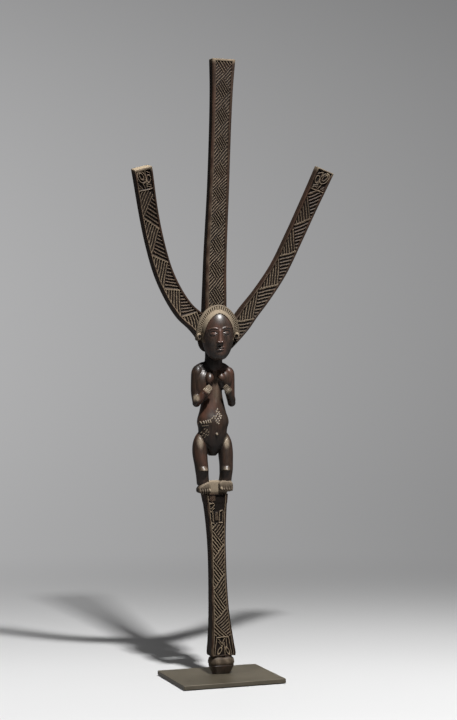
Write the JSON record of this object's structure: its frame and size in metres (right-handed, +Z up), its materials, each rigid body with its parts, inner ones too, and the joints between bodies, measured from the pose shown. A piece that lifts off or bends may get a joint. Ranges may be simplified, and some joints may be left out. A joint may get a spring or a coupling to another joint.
{
  "type": "ceremonial bow stand",
  "caption": "Carved wooden bow stand: a standing figure on a patterned shaft under a fork of patterned prongs, pinned to a flat metal display base.",
  "frame": {"origin": "centre of the felt's underside, where the display base rests", "axes": "+Z up through the carving, the figure looks along -Y, and the left pieces as seen from the front lie at -X"},
  "size_m": [0.2613, 0.104, 0.7643],
  "materials": {
    "dark_wood": "dark stained and oiled hardwood with a handled gloss",
    "dusty_wood": "the same hardwood, worn pale and dusty, matt",
    "patterned_wood": "dark hardwood cut with hatched grooves, dusty on the ridges",
    "plate": "satin dark bronze coating",
    "steel": "plain turned steel, hidden",
    "felt": "black wool felt"
  },
  "bodies": {
    "root": {"base_felt": "felt", "base_plate": "plate", "mount_screw": "steel", "mount_rod": "steel", "foot_cup": "dark_wood", "foot_collar": "dusty_wood", "shaft": "patterned_wood", "platform": "dusty_wood", "left_foot": "dusty_wood", "left_leg": "dark_wood", "right_foot": "dusty_wood", "right_leg": "dark_wood", "torso": "dark_wood", "left_arm": "dark_wood", "left_hand": "dusty_wood", "right_arm": "dark_wood", "right_hand": "dusty_wood", "neck": "dark_wood", "head": "dark_wood", "coiffure": "dusty_wood", "left_ear": "dusty_wood", "right_ear": "dusty_wood", "prong_hub": "patterned_wood", "left_prong": "patterned_wood", "centre_prong": "patterned_wood", "right_prong": "patterned_wood"}
  },
  "joints": []
}
